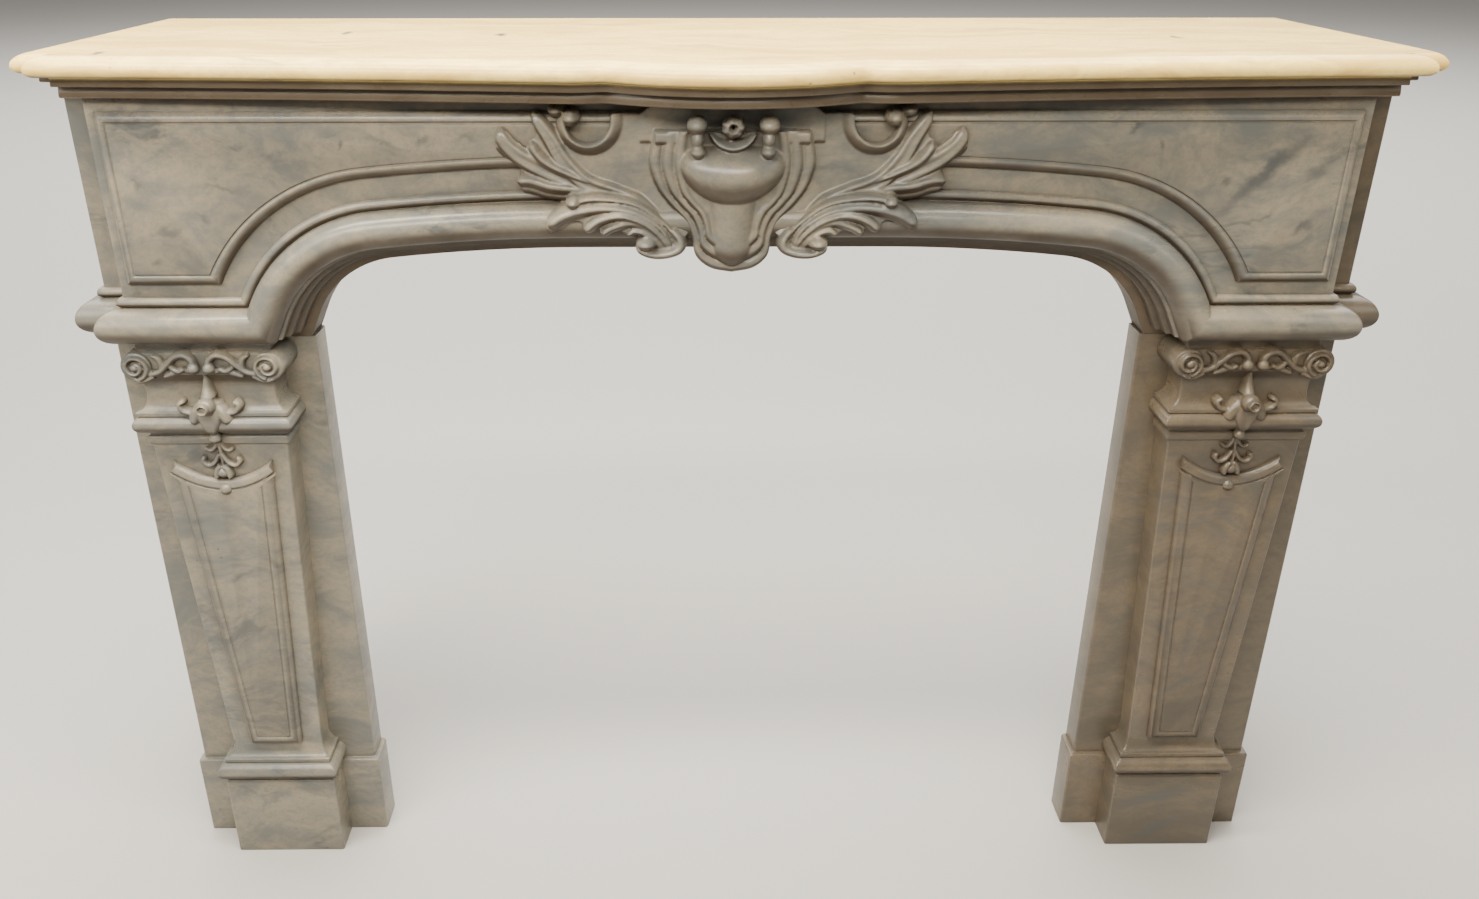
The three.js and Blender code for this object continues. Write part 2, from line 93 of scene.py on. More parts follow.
# Turning points of the shelf's nose line, over one half
SHELF_HALF = 760.0
SHELF_WING_NOSE = -10.0
SHELF_BLOCK_HALF = 731.0
SHELF_CORNER_NOSE = -44.0
SHELF_PEAK = (166.0, -88.0)
SHELF_NOTCH = (134.0, -81.0)
SHELF_BOW_NOSE = -120.0
SHELF_SIDE_STRAIGHTNESS = 0.45

# Arch: the bead line springs, turns a tight corner and flattens to the crown
SPRING_X = 557.0
SPRING_Z = 822.0
STEEP = math.radians(66)
CORNER_R = 192.0
SHALLOW = math.radians(6)
FLAT_X = 170.0
BACK_ARCH_OFFSET = 74.0

# Outer corners of the arch moulding: how far they are rounded, and the share of it at the rounding's middle
MOULDING_EASE = 4.0
EASED_MIDDLE = 0.29

# Edges sharper than this stay crisp
CRISP = math.radians(34)


# Meshes

def place(points):
    """Millimetres on the stones to metres in the frame."""
    return (np.asarray(points, float) + (0.0, FACE_Y, 0.0)) * MM


def loft(rings):
    """A closed body through rings of equal length, capped at both ends."""
    rings = np.asarray(rings, float)
    count, around = rings.shape[:2]
    index = np.arange(count * around).reshape(count, around)
    ahead = np.roll(index, -1, axis=1)
    sides = np.stack([index[:-1], ahead[:-1], ahead[1:], index[1:]], axis=-1).reshape(-1, 4)
    faces = sides.tolist() + [index[0][::-1].tolist(), index[-1].tolist()]
    return rings.reshape(-1, 3), faces


def mirrored(shape):
    points, faces = shape
    return points * (-1.0, 1.0, 1.0), [face[::-1] for face in faces]


def handed(shape, sign):
    """A shape drawn for the right-hand side, as it is or mirrored."""
    return shape if sign > 0 else mirrored(shape)


def both_sides(shapes):
    return list(shapes) + [mirrored(shape) for shape in shapes]


def stone(name, shapes):
    """One object from closed shapes, faces outwards."""
    points = []
    faces = []
    start = 0
    for shape_points, shape_faces in shapes:
        points.append(place(shape_points))
        faces.extend([start + corner for corner in face] for face in shape_faces)
        start += len(shape_points)
    mesh = bpy.data.meshes.new(name)
    mesh.from_pydata(np.vstack(points).tolist(), [], faces)
    shell = bmesh.new()
    shell.from_mesh(mesh)
    bmesh.ops.recalc_face_normals(shell, faces=shell.faces)
    shell.to_mesh(mesh)
    shell.free()
    piece = bpy.data.objects.new(name, mesh)
    bpy.context.scene.collection.objects.link(piece)
    return piece


def apply_modifiers(piece):
    bpy.context.view_layer.update()
    ready = piece.evaluated_get(bpy.context.evaluated_depsgraph_get())
    mesh = bpy.data.meshes.new_from_object(ready)
    piece.modifiers.clear()
    piece.data = mesh
    return piece


def carve(name, shapes, grain):
    """Overlapping shapes worked into one rounded surface, with the grain as the finest detail."""
    piece = stone(name, shapes)
    skin = piece.modifiers.new("skin", "REMESH")
    skin.mode = "VOXEL"
    skin.voxel_size = grain * MM
    soften = piece.modifiers.new("soften", "SMOOTH")
    soften.factor = 0.5
    soften.iterations = 2
    return apply_modifiers(piece)


def join(piece, others):
    """Makes one closed body of several that overlap."""
    for other in others:
        union = piece.modifiers.new("union", "BOOLEAN")
        union.operation = "UNION"
        union.solver = "MANIFOLD"
        union.object = other
    apply_modifiers(piece)
    for other in others:
        bpy.data.objects.remove(other)
    return piece


def steps(count):
    return np.linspace(0.0, 1.0, count + 1)


def bend(t, values):
    """A value that runs from the first to the last, drawn towards the middle one."""
    first, middle, last = values
    return (1 - t) ** 2 * first + 2 * t * (1 - t) * middle + t ** 2 * last


def smooth_line(points, count):
    """Even steps along a smooth curve through the points."""
    points = np.asarray(points, float)
    knots = np.vstack([2 * points[0] - points[1], points, 2 * points[-1] - points[-2]])
    per_leg = 16
    t = np.linspace(0.0, 1.0, per_leg, endpoint=False)[:, None]
    dense = []
    for a, b, c, d in zip(knots, knots[1:], knots[2:], knots[3:]):
        dense.append(0.5 * (2 * b + (c - a) * t + (2 * a - 5 * b + 4 * c - d) * t ** 2
                            + (3 * b - a - 3 * c + d) * t ** 3))
    dense = np.vstack(dense + [points[-1:]])
    legs = np.linalg.norm(np.diff(dense, axis=0), axis=1)
    travel = np.concatenate([[0.0], np.cumsum(legs)])
    even = np.linspace(0.0, travel[-1], count)
    return np.stack([np.interp(even, travel, dense[:, k]) for k in range(points.shape[1])], axis=1)


def unit(vectors):
    return vectors / np.linalg.norm(vectors, axis=-1, keepdims=True)


def inset_loop(loop, amount, blunt=0.02):
    """A closed outline moved inwards by an even amount, with mitred corners, blunted where they are sharp."""
    loop = np.asarray(loop, float)
    ahead = unit(np.roll(loop, -1, axis=0) - loop)
    behind = np.roll(ahead, 1, axis=0)
    turn = np.sum(loop[:, 0] * np.roll(loop[:, 1], -1) - np.roll(loop[:, 0], -1) * loop[:, 1])
    side = np.sign(turn)
    normal_ahead = np.stack([-ahead[:, 1], ahead[:, 0]], axis=1) * side
    normal_behind = np.stack([-behind[:, 1], behind[:, 0]], axis=1) * side
    spread = 1 + np.sum(normal_ahead * normal_behind, axis=1, keepdims=True)
    mitre = (normal_ahead + normal_behind) / np.maximum(spread, blunt)
    return loop + amount * mitre


def on_face(loop, y):
    """An outline in x and z, set at a depth."""
    loop = np.asarray(loop, float)
    return np.stack([loop[:, 0], np.full(len(loop), y), loop[:, 1]], axis=1)


def raised(loop, profile):
    """A body with an outline, stepping inwards by the profile's inset and y."""
    return loft([on_face(inset_loop(loop, inset), y) for inset, y in profile])


def arc(centre, radius, start, end, count):
    """Points of an arc, with angles in degrees."""
    angles = np.radians(np.linspace(start, end, count + 1))
    return [(centre[0] + radius * math.cos(a), centre[1] + radius * math.sin(a)) for a in angles]


# Carver's shapes

def ball(x, y, z, rx, ry, rz, fine=20):
    pole = 0.02
    tilt = np.linspace(pole, math.pi - pole, fine // 2 + 1)
    round_angle = np.linspace(0.0, 2 * math.pi, fine, endpoint=False)
    rings = []
    for a in tilt:
        ring_x = x + rx * math.sin(a) * np.cos(round_angle)
        ring_z = z + rz * math.sin(a) * np.sin(round_angle)
        rings.append(np.stack([ring_x, np.full(fine, y - ry * math.cos(a)), ring_z], axis=1))
    return loft(rings)


def frond(line, wide, high, ribs=1, cut=2.0, face=0.0, tip=0.08, swell=0.6, lean=1.0):
    """A leaf lobe or strap along a curve on the face: crowned, with grooves cut along it and a round tip."""
    stations, around = 40, 21
    tip_blunt, tip_rise = 1.02, 0.6
    groove_start = 0.04
    t = np.linspace(0.0, 1.0, stations)
    path = smooth_line(line, stations)
    along = unit(np.gradient(path, axis=0))
    half = bend(t, wide)
    rise = bend(t, high)
    if tip:
        ending = np.sqrt(np.clip(1 - (np.clip(t - 1 + tip, 0, tip) / (tip * tip_blunt)) ** 2, 0.0, 1.0))
        half = half * ending
        rise = rise * (tip_rise + (1 - tip_rise) * ending)
    across = np.linspace(0.0, 1.0, around)
    crown = np.abs(np.sin(math.pi * across ** lean)) ** swell
    groove = (0.5 - 0.5 * np.cos(2 * math.pi * ribs * across)) * np.sin(math.pi * across) ** 0.5
    fade = np.sin(math.pi * np.clip(t, groove_start, 1 - groove_start)) ** 0.5
    rings = []
    for k in range(stations):
        side = half[k] * np.cos(math.pi * across)
        out = (rise[k] + ROOT) * crown - ROOT - cut * fade[k] * groove
        ring = [path[k, 0] - along[k, 1] * side, face - out, path[k, 1] + along[k, 0] * side]
        rings.append(np.stack(ring, axis=1))
    return loft(rings)


def spiral(x, z, start_r, end_r, start, end, count=14):
    """Points winding about a centre, with angles in turns."""
    t = steps(count)
    angle = 2 * math.pi * (start + (end - start) * t)
    radius = start_r + (end_r - start_r) * t
    return np.stack([x + radius * np.cos(angle), z + radius * np.sin(angle)], axis=1)


def plate(loop, front, back=ROOT, edge=2.0):
    """A flat ground with an eased edge."""
    return raised(loop, [(edge, front), (edge * 0.3, front + edge * 0.3), (0.0, front + edge), (0.0, back)])


# Shelf

def nose_line(x):
    x = abs(x)
    peak_x, peak_y = SHELF_PEAK
    notch_x, notch_y = SHELF_NOTCH
    if x >= peak_x:
        t = (SHELF_BLOCK_HALF - x) / (SHELF_BLOCK_HALF - peak_x)
        sweep = SHELF_SIDE_STRAIGHTNESS * t + (1 - SHELF_SIDE_STRAIGHTNESS) * t * t
        return SHELF_CORNER_NOSE + (peak_y - SHELF_CORNER_NOSE) * sweep
    if x >= notch_x:
        return peak_y + (notch_y - peak_y) * ((peak_x - x) / (peak_x - notch_x)) ** 2
    sag = notch_y - SHELF_BOW_NOSE
    radius = (notch_x ** 2 + sag ** 2) / (2 * sag)
    return SHELF_BOW_NOSE + radius - math.sqrt(radius ** 2 - x ** 2)


def shelf_nose(x):
    """The nose line with its sharp turns rubbed down."""
    rubbed = 7.0
    return np.mean([nose_line(x + reach) for reach in np.linspace(-rubbed, rubbed, 9)])


def shelf_edge():
    """Inset behind the nose and drop below the top, from the underside up."""
    low_deep, top_deep = 9.0, 20.0
    widest, nose_foot = 13.0, 21.4
    bands = [(38, 46), (32, 45.6), (30.5, 44.5), (30, 43), (31, 38), (32, 34), (31, 33), (19.5, 32.2),
             (18.3, 31.6), (18, 30.5), (18.4, 23.6), (17, 21.9), (12, nose_foot)]
    lower = [(low_deep * (1 - math.sin(a)), widest + (nose_foot - widest) * math.cos(a))
             for a in np.radians(np.linspace(8, 90, 10))]
    upper = [(top_deep * (1 - math.cos(a)), widest * (1 - math.sin(a)))
             for a in np.radians(np.linspace(6, 86, 14))]
    return bands + lower + upper + [(top_deep + 2, 0.0), (top_deep + 5, 0.0)]


def shelf():
    span = SHELF_BLOCK_HALF
    side_end = SHELF_PEAK[0] + 14
    turn_start, turn_end = SHELF_PEAK[0] + 12, SHELF_NOTCH[0] - 16
    bow_start = SHELF_NOTCH[0] - 18
    ease, corner_clear = 2.0, 8.0
    side = span + (side_end - span) * steps(30)
    turn = turn_start + (turn_end - turn_start) * steps(20)
    bow = bow_start * (1 - steps(14))
    right = [(SHELF_HALF, WALL_Y, -1, 0), (SHELF_HALF, SHELF_WING_NOSE, -1, 1),
             (span, SHELF_WING_NOSE, -1, 1), (span, SHELF_CORNER_NOSE + ease, -1, 1),
             (span - ease, SHELF_CORNER_NOSE, -1, 1)]
    stations = np.concatenate([side, turn, bow])
    plan = right + [(x, shelf_nose(x), 0, 1) for x in stations if x < span - corner_clear]
    plan += [(-x, y, -in_x, in_y) for x, y, in_x, in_y in plan[-2::-1]]
    plan = np.array(plan, float)
    rings = []
    for inset, drop in shelf_edge():
        rings.append(np.stack([plan[:, 0] + plan[:, 2] * inset, plan[:, 1] + plan[:, 3] * inset,
                               np.full(len(plan), HEIGHT - drop)], axis=1))
    rings[0][:, 2] = SHELF_UNDER + JOINT
    return stone("shelf_slab", [loft(rings)])


# Arch and frieze

def arch_nodes():
    """Points of the bead line from left to right, each with the normal into the opening."""
    nodes = []
    for a in STEEP + (SHALLOW - STEEP) * steps(24):
        x = -SPRING_X + CORNER_R * (math.sin(STEEP) - math.sin(a))
        nodes.append((x, SPRING_Z + CORNER_R * (math.cos(a) - math.cos(STEEP)), math.sin(a), -math.cos(a)))
    last_x, last_z = nodes[-1][:2]
    crown_r = (-FLAT_X - last_x) / math.sin(SHALLOW)
    for a in SHALLOW * (1 - steps(8)[1:]):
        z = last_z + crown_r * (math.cos(a) - math.cos(SHALLOW))
        nodes.append((-FLAT_X - crown_r * math.sin(a), z, math.sin(a), -math.cos(a)))
    nodes += [(-x, z, -nx, nz) for x, z, nx, nz in nodes[::-1]]
    return np.array(nodes)


def arch_line(offset):
    nodes = arch_nodes()
    return nodes[:, :2] + offset * nodes[:, 2:]


def arched_outline(half, bottom, offset):
    """A lintel with the arch cut out of it at an offset from the bead."""
    line = arch_line(offset)
    foot = line[0, 0] - (line[0, 1] - bottom) / math.tan(STEEP)
    return np.vstack([[-half, bottom], [foot, bottom], line, [-foot, bottom], [half, bottom],
                      [half, SHELF_UNDER], [-half, SHELF_UNDER]])


def bead_and_torus():
    """Section as offset from the bead line and projection from the face."""
    bead_r, bead_seat = 6.0, 1.0
    torus_r, torus_offset, torus_seat = 20.0, 27.0, 8.0
    bead = arc((0.0, bead_seat), bead_r, 180, 25, 10)
    quirk = [(6.0, 3.3), (6.6, 4.0)]
    torus = arc((torus_offset, torus_seat), torus_r, 178, 0, 22)
    return np.array([(-bead_r, -ROOT), *bead, *quirk, *torus, (torus_offset + torus_r, -ROOT)])


def moulding_corner(section, half, face, side=1):
    """Rings round an outer corner of the moulding, a little rounded, from the side face to the front."""
    u = section[:, 0]
    d = section[:, 1]
    rings = []
    for in_x, in_y in ((0.0, 1.0), (EASED_MIDDLE, EASED_MIDDLE), (1.0, 0.0)):
        x = side * (half + d - MOULDING_EASE * in_x)
        rings.append(np.stack([x, face - d + MOULDING_EASE * in_y, SPRING_Z - u], axis=1))
    return rings


def over_arch(section, nodes):
    """Rings of a section carried along the arch."""
    u = section[:, 0]
    d = section[:, 1]
    return [np.stack([x + u * nx, -d, z + u * nz], axis=1) for x, z, nx, nz in nodes]


def frieze_moulding():
    section = bead_and_torus()
    u = section[:, 0]
    d = section[:, 1]
    nodes = arch_nodes()
    mitre = math.tan(STEEP / 2)
    nodes[0, 2:] = (mitre, -1.0)
    nodes[-1, 2:] = (-mitre, -1.0)

    def end(side):
        return np.stack([side * (FRIEZE_HALF + d), WING_FACE - JOINT - d, SPRING_Z - u], axis=1)

    left = [end(-1), *moulding_corner(section, FRIEZE_HALF, 0.0, -1)]
    right = [end(1), *moulding_corner(section, FRIEZE_HALF, 0.0)]
    return loft([*left, *over_arch(section, nodes), *right[::-1]])


def soffit():
    """The small fillets that step back inside the torus, down to the foot of the frieze."""
    section = np.array([(40, 0), (50.3, 0), (50.8, -0.3), (51, -1), (51, -11.4), (51.6, -12), (56.2, -12),
                        (56.8, -12.3), (57, -13), (57, -25.4), (57.6, -26), (62.2, -26), (62.8, -26.3),
                        (63, -27), (63, -FRIEZE_BACK), (40, -FRIEZE_BACK)], float)
    rings = over_arch(section, arch_nodes())

    def foot(ring, side):
        ring = ring.copy()
        ring[:, 0] += side * (ring[:, 2] - FRIEZE_BOTTOM) / math.tan(STEEP)
        ring[:, 2] = FRIEZE_BOTTOM
        return ring

    return loft([foot(rings[0], -1), *rings, foot(rings[-1], 1)])


def panel_profile(rise, edge, back):
    """A raised field with a quarter-round edge and a soft quirk inside it."""
    low = 0.6
    turn = np.radians(np.linspace(0, 90, 9))
    rounding = [(edge * (1 - math.cos(a)), -low - (rise - low) * math.sin(a)) for a in turn]
    quirk = [(1.0, 0.5), (1.7, 1.6), (2.9, 1.6), (3.8, 0.5), (5.2, 0.2)]
    return [(0.0, back), *rounding, *[(edge + inset, sink - rise) for inset, sink in quirk]]


def frieze_panel():
    outer, inner, top, bottom = 686.0, 90.0, 1039.0, 844.0
    clear_of_bead = 31.0
    line = arch_line(-clear_of_bead)
    line = line[len(line) // 2:]
    inside = line[(line[:, 1] > bottom) & (line[:, 0] > inner)]
    foot = inside[-1, 0] + (inside[-1, 1] - bottom) / math.tan(STEEP)
    loop = np.vstack([[inner, top], [inner, inside[0, 1]], inside,
                      [foot, bottom], [outer, bottom], [outer, top]])
    return raised(loop, panel_profile(10.0, 10.0, ROOT))


# Cartouche, drawn for the right-hand half

SHIELD_SIDE = [(0, 863), (24, 868), (40, 882), (44, 902), (52, 922), (66, 938), (80, 956), (88, 976),
               (90, 990), (87, 1008), (84, 1022)]
SHIELD_WAIST = 955.0
SHIELD_BANDS = [(1.0, ROOT), (1.0, -20), (0.99, -24), (0.965, -27.5), (0.93, -29), (0.89, -28.5),
                (0.865, -26.8), (0.852, -25.8), (0.84, -27.5), (0.83, -30.5), (0.80, -33.2), (0.76, -34),
                (0.725, -33), (0.705, -31.2), (0.694, -31.4), (0.684, -34), (0.66, -37), (0.62, -38),
                (0.585, -37), (0.565, -35.4), (0.5, -35)]
UPPER_BLADE = [(68, 905), (84, 930), (102, 945), (127, 957), (152, 966), (174, 980), (190, 1002),
               (199, 1022), (211, 1042), (219, 1038), (213, 1018), (220, 1012), (222, 1002), (236, 1008),
               (246, 1027), (254, 1019), (255, 1003), (247, 990), (226, 978), (238, 970), (236, 957),
               (222, 951), (200, 946), (178, 940), (150, 944), (118, 938), (98, 928)]
LOWER_BLADE = [(64, 900), (82, 927), (103, 939), (124, 946), (150, 948), (174, 946), (193, 935),
               (205, 925), (207, 914), (198, 907), (184, 915), (168, 922), (163, 909), (154, 907),
               (146, 914), (144, 906), (135, 906), (126, 911), (117, 905), (106, 907), (92, 898),
               (78, 892)]
UPPER_FRONDS = [
    dict(line=[(66, 905), (80, 925), (102, 942), (128, 952), (160, 964), (182, 987), (195, 1010),
         (206, 1027), (214, 1040)], wide=(5, 22, 8), high=(26, 28, 22), ribs=3, cut=4.0),
    dict(line=[(104, 943), (140, 955), (176, 966), (210, 981), (233, 995), (246, 1009), (249, 1024)],
         wide=(5, 22, 9), high=(24, 23, 23), ribs=3, cut=3.6),
    dict(line=[(150, 962), (186, 978), (203, 988), (212, 998), (217, 1009)], wide=(4, 14, 7),
         high=(22, 29, 25), ribs=2, cut=3.2),
    dict(line=[(218, 987), (236, 991), (248, 998), (253, 1006)], wide=(4, 9, 6), high=(15, 18, 16),
         cut=1.4),
    dict(line=[(110, 944), (145, 952), (174, 957), (199, 960), (219, 966), (235, 965)], wide=(5, 17, 8.5),
         high=(24, 25, 23), ribs=2, cut=3.2),
    dict(line=[(140, 950), (172, 949), (198, 951), (220, 957), (232, 956)], wide=(3, 12, 6.5),
         high=(20, 20, 17), cut=1.6),
    dict(line=[(118, 948), (126, 954), (130, 961), (135, 968)], wide=(3, 7, 2.5), high=(20, 24, 17),
         cut=1.0),
]
LOWER_FRONDS = [
    dict(line=[(62, 896), (68, 914), (83, 928), (102, 941), (124, 947), (150, 949), (173, 946)],
         wide=(4, 5.5, 7), high=(32, 36, 39), cut=1.2),
    dict(line=[(66, 890), (74, 910), (88, 924), (112, 936), (144, 939), (173, 934), (191, 926),
         (202, 916)], wide=(4, 12, 11.5), high=(32, 44, 40), ribs=2, cut=2.6, tip=0.07),
    dict(line=[(70, 892), (80, 908), (97, 923), (119, 931), (138, 929), (153, 921), (160, 911)],
         wide=(5, 12, 8.5), high=(32, 47, 43), ribs=2, cut=3.2),
    dict(line=[(74, 890), (83, 904), (96, 918), (112, 923), (126, 920), (138, 914), (142, 907)],
         wide=(4, 10, 7), high=(32, 46, 41), cut=2.0),
    dict(line=[(78, 890), (86, 902), (96, 911), (107, 914), (115, 908)], wide=(4, 8.5, 6),
         high=(32, 45, 40), cut=1.6),
]


def shield_ring(shrink, y):
    """The shield's outline drawn in towards its middle, but not from its straight top."""
    side = smooth_line(SHIELD_SIDE, 40)
    x = side[:, 0] * shrink
    z = np.where(side[:, 1] < SHIELD_WAIST, SHIELD_WAIST + (side[:, 1] - SHIELD_WAIST) * shrink, side[:, 1])
    half = np.stack([x, z], axis=1)
    return on_face(np.vstack([half, half[:0:-1] * (-1.0, 1.0)]), y)


def shield():
    """Three low bands round a swelling urn."""
    shapes = [loft([shield_ring(shrink, y) for shrink, y in SHIELD_BANDS])]
    middle, half, high = 976.0, 57.0, 32.0
    flare, droop = 0.08, 9.0
    urn, faces = ball(0.0, -31.0, middle, half, 35.0, high, 48)
    lift = (urn[:, 2] - middle) / high
    urn[:, 0] *= 1.0 + flare * lift
    urn[:, 2] += droop * (np.abs(urn[:, 0]) / half) ** 2
    shapes.append((urn, faces))
    foot = [(0, 968), (0, 945), (0, 915), (0, 873)]
    shapes.append(frond(foot, (40, 24, 29), (46, 48, 43), cut=0.0, tip=0.26, swell=0.62))
    return shapes


def shield_top():
    """The chamfered block under the shelf, the drilled flower, its crescent lip and the two hanging knobs."""
    half, low, high = 99.0, 1008.0, 1038.0
    shoulder, shoulder_z = 87.0, 1048.0
    loop = np.array([(-half, low), (half, low), (half, high), (shoulder, shoulder_z), (shoulder, SHELF_UNDER),
                     (-shoulder, SHELF_UNDER), (-shoulder, shoulder_z), (-half, high)])
    shapes = [plate(loop, -20.0, ROOT, 1.5)]
    cap = np.array([(-83, 1009), (83, 1009), (83, 1021), (-83, 1021)], float)
    shapes.append(plate(cap, -33.5, ROOT, 2.5))
    petals, ring_r, flower_z = 7, 7.5, 1028.0
    for turn in steps(petals)[:-1]:
        angle = 2 * math.pi * turn
        petal_x, petal_z = ring_r * math.cos(angle), flower_z + ring_r * math.sin(angle)
        shapes.append(ball(petal_x, -42.0, petal_z, 5.5, 9.0, 5.5, 14))
    ring = spiral(0.0, flower_z, 5.6, 5.6, 0.0, 0.98, 16)
    shapes.append(frond(ring, (3.2, 3.2, 3.2), (52, 52, 52), cut=0.0, tip=0.0))
    crescent = [(-24, 1021), (-14, 1011), (0, 1007), (14, 1011), (24, 1021)]
    shapes.append(frond(crescent, (2, 13, 2), (50, 62, 50), cut=0.0, tip=0.0))
    knob = [ball(38, -46, 1031, 11, 17, 11, 18), ball(37.5, -47, 1017, 6.6, 14, 13, 16),
            ball(37, -51, 1004, 7.8, 12, 7.2, 16)]
    return shapes + both_sides(knob)


def foliage():
    """Ground, C scroll with its berry, acanthus sprays and the lower volute, for the right-hand side."""
    scroll_x, scroll_z, scroll_r = 158.0, 1030.0, 34.0
    edge = arc((scroll_x, scroll_z), scroll_r, -36, -196, 19)
    rise = [(60, 905), (80, 930), (102, 946), (127, 958), (152, 967), (173, 980), (184, 1008)]
    ground = np.vstack([[80, 1038], [60, 950], smooth_line(rise, 24), edge])
    shapes = [plate(ground, -17.0, ROOT, 1.5)]
    throat = [(56, 903), (68, 920), (84, 946), (102, 988)]
    shapes.append(frond(throat, (14, 22, 20), (30, 20, 12), cut=0.0, tip=0.3, swell=0.3))
    scroll = spiral(scroll_x, scroll_z, 37.0, 24.0, 0.46, 1.08, 18)
    shapes.append(frond(scroll, (8.5, 9, 5), (26, 29, 26), cut=0.0, swell=0.55, lean=0.5))
    shapes.append(ball(172.0, -18.0, 1035.0, 9.5, 22.0, 10.0, 20))
    shapes.append(ball(188.0, -12.0, 1042.0, 10.0, 18.0, 7.5, 18))
    shapes.append(ball(172.0, -24.0, 945.0, 9.5, 20.0, 8.0, 18))
    for outline, front in ((UPPER_BLADE, -16.0), (LOWER_BLADE, -33.0)):
        blade = smooth_line(outline + outline[:1], 110)[:-1]
        shapes.append(plate(inset_loop(blade, 4.0, 0.5), front, ROOT, 3.0))
    shapes.extend(frond(**leaf) for leaf in UPPER_FRONDS + LOWER_FRONDS)
    lower_volute = [(66, 914), (57, 903), (58, 893), (70, 888), (86, 887), (99, 891), (104, 898)]
    shapes.append(frond(lower_volute, (7, 9, 6), (34, 46, 40), cut=1.0))
    shapes.append(ball(94.0, -26.0, 900.0, 12.0, 24.0, 8.0, 20))
    return shapes


def frieze():
    eased = [(1.2, 0.0), (0.35, 0.35), (0.0, 1.2), (0.0, FRIEZE_BACK)]
    under_torus = 45.0
    outline = arched_outline(FRIEZE_HALF, FRIEZE_BOTTOM, under_torus)
    body = stone("frieze_lintel", [raised(outline, eased)])
    parts = [stone("moulding", [frieze_moulding()]), stone("soffit", [soffit()])]
    parts += [stone("panel", [shape]) for shape in both_sides([frieze_panel()])]
    parts.append(carve("cartouche", shield() + shield_top() + both_sides(foliage()), grain=1.4))
    return join(body, parts)


def back_lintel():
    eased = [(0.4, SLAB_FACE), (0.0, SLAB_FACE + 0.4), (0.0, SLAB_BACK)]
    outline = arched_outline(FRIEZE_HALF, WING_BOTTOM + JOINT, BACK_ARCH_OFFSET)
    return stone("lintel_backing", [raised(outline, eased)])


# Pilasters, drawn about their own centre line

def block_ring(z, half, front, back, ease=2.2):
    left = arc((-half + ease, front + ease), ease, 180, 270, 4)
    right = arc((half - ease, front + ease), ease, 270, 360, 4)
    outline = [(-half, back), *left, *right, (half, back)]
    return np.array([(x, y, z) for x, y in outline])


def roll(low, high, half, front):
    """Levels of a half-round moulding standing out of the block."""
    r = (high - low) / 2
    levels = []
    for a in math.pi * steps(14):
        out = r * math.sin(a)
        levels.append((low + r * (1 - math.cos(a)), half + out, front - out))
    return levels


def pilaster_block():
    """The plinth, and the base, shaft and capital above it, from levels of height, half width and front."""
    plinth = [(0, 73, -3), (1, 74, -4), (120, 74, -4), (122.5, 73.5, -3.5), (124.5, 72, -2), (126, 70, 0)]
    base = [(125.9, 71, -1), (127.5, 70.5, -0.5), *roll(128, 154, 68, 2), (154.6, 71, 0), (155, 72, -1),
            (160, 72, -1), (160.6, 71.4, -0.4)]
    sweep = smooth_line([(161, 68, 3), (163, 65.5, 5.5), (169, 62, 9), (SHAFT_LOW, 60, SHAFT_LOW_FACE)], 10)
    neck = [(SHAFT_HIGH, 81, SHAFT_HIGH_FACE), (641, 83.5, 0), (642, 84.4, -1), (650, 85, -2),
            (651, 84.6, -1.6), (653, 82, 1), (658, 82, 1)]
    hollow = smooth_line([(686, 88, -6), (688, 84, -3), (694, 79, 0), (706, 76.5, 2), (722, 78.5, 1),
                          (734, 84, CAP_FACE)], 18)
    cap = [*roll(659, 680, 84, -4), (681, 90, -8), (685, 90, -8), *map(tuple, hollow), (760, 84, CAP_FACE),
           (761.5, 83, -4.5), (763, 79, 0), (PILASTER_TOP, 79, 0)]
    foot = loft([block_ring(z, half, front, PLINTH_BACK) for z, half, front in plinth])
    upper = [*base, *map(tuple, sweep), *neck, *cap]
    return [foot, loft([block_ring(z, half, front, PILASTER_BACK) for z, half, front in upper])]


def shaft_face(z):
    lean = (SHAFT_HIGH_FACE - SHAFT_LOW_FACE) / (SHAFT_HIGH - SHAFT_LOW)
    return SHAFT_LOW_FACE + lean * (z - SHAFT_LOW)


def shaft_panel():
    low, high, low_half, high_half, dip = 181.0, 619.0, 35.0, 60.0, 25.0
    across = high_half * (1 - 2 * steps(24))
    head = [(x, high - dip * (1 - (x / high_half) ** 2)) for x in across]
    loop = np.array([(-low_half, low), (low_half, low), *head])
    points, faces = raised(loop, panel_profile(9.0, 11.0, 12.0))
    points[:, 1] += shaft_face(points[:, 2])
    return points, faces


def volute():
    x, z, r, front = 77.0, 745.0, 18.0, -10.0
    around = 36
    angle = np.linspace(0.0, 2 * math.pi, around, endpoint=False)
    barrel = []
    for radius, y in [(r - 2, front), (r - 0.5, front + 0.6), (r, front + 2), (r, PILASTER_BACK)]:
        ring = [x + radius * np.cos(angle), np.full(around, y), z + radius * np.sin(angle)]
        barrel.append(np.stack(ring, axis=1))
    winding = spiral(x, z, 15.0, 5.0, 0.72, -0.75, 30)
    strap = frond(winding, (3.4, 3.2, 2.8), (4.5, 5.5, 6.0), cut=0.0, face=front)
    return [loft(barrel), strap, ball(x, front, z, 5.4, 7.0, 5.4, 16)]


